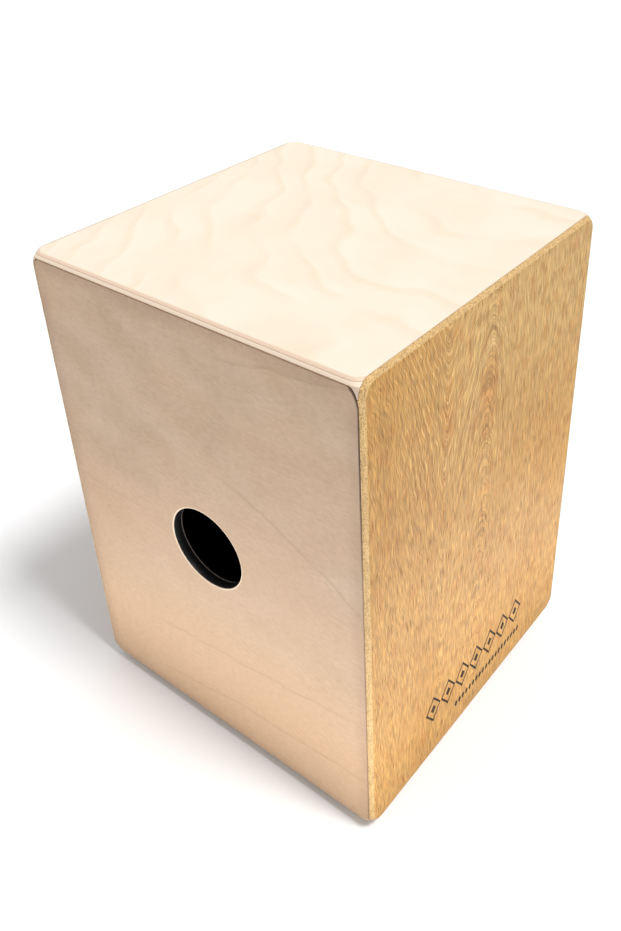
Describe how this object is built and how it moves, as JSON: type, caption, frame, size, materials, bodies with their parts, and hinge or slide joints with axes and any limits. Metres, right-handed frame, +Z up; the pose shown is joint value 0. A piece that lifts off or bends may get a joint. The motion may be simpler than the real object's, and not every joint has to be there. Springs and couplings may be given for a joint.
{
  "type": "cajon",
  "caption": "Box drum to sit on: plywood playing face in front, round sound hole in the back, and snare wires inside on a wooden bar that turns.",
  "frame": {"origin": "on the floor, under the middle of the box: the feet stand on z = 0", "axes": "+Z up, +Y out of the playing face, -Y out of the back with the sound hole, +X to the right as seen from behind the sound hole side, along the snare bar"},
  "size_m": [0.3, 0.288, 0.413],
  "materials": {
    "seat_birch": "satin lacquered birch plywood",
    "birch": "satin lacquered birch plywood",
    "oak": "satin lacquered open-pored wood",
    "pine": "planed, bare",
    "beech": "planed, bare",
    "rubber": "matte black rubber",
    "screw_steel": "zinc-plated",
    "snare_steel": "bright drawn wire"
  },
  "bodies": {
    "case": {"back_panel": "birch", "batten_floor_left": "pine", "batten_floor_right": "pine", "batten_top_left": "pine", "batten_top_right": "pine", "end_block_left": "beech", "end_block_right": "beech", "end_block_screw_left_lower": "screw_steel", "end_block_screw_left_upper": "screw_steel", "end_block_screw_right_lower": "screw_steel", "end_block_screw_right_upper": "screw_steel", "floor_panel": "birch", "foot_back_left": "rubber", "foot_back_right": "rubber", "foot_front_left": "rubber", "foot_front_right": "rubber", "foot_screw_back_left": "screw_steel", "foot_screw_back_right": "screw_steel", "foot_screw_front_left": "screw_steel", "foot_screw_front_right": "screw_steel", "front_tapa": "birch", "left_side_panel": "oak", "right_side_panel": "oak", "seat_panel": "seat_birch", "tapa_screw_01": "screw_steel", "tapa_screw_02": "screw_steel", "tapa_screw_03": "screw_steel", "tapa_screw_04": "screw_steel", "tapa_screw_05": "screw_steel", "tapa_screw_06": "screw_steel", "tapa_screw_07": "screw_steel", "tapa_screw_08": "screw_steel", "tapa_screw_09": "screw_steel", "tapa_screw_10": "screw_steel", "tapa_screw_11": "screw_steel", "tapa_screw_12": "screw_steel", "tapa_screw_13": "screw_steel", "tapa_screw_14": "screw_steel"},
    "snare": {"plate_screw_left_1": "screw_steel", "plate_screw_left_2": "screw_steel", "plate_screw_right_1": "screw_steel", "plate_screw_right_2": "screw_steel", "snare_bar": "beech", "snare_wires_left": "snare_steel", "snare_wires_right": "snare_steel"}
  },
  "joints": [
    {"name": "snare_bar_turn", "type": "hinge", "parent": "case", "child": "snare", "pos_m": [0, 0.127, 0.244], "axis": [1, 0, 0], "range_deg": [0, 25]}
  ]
}
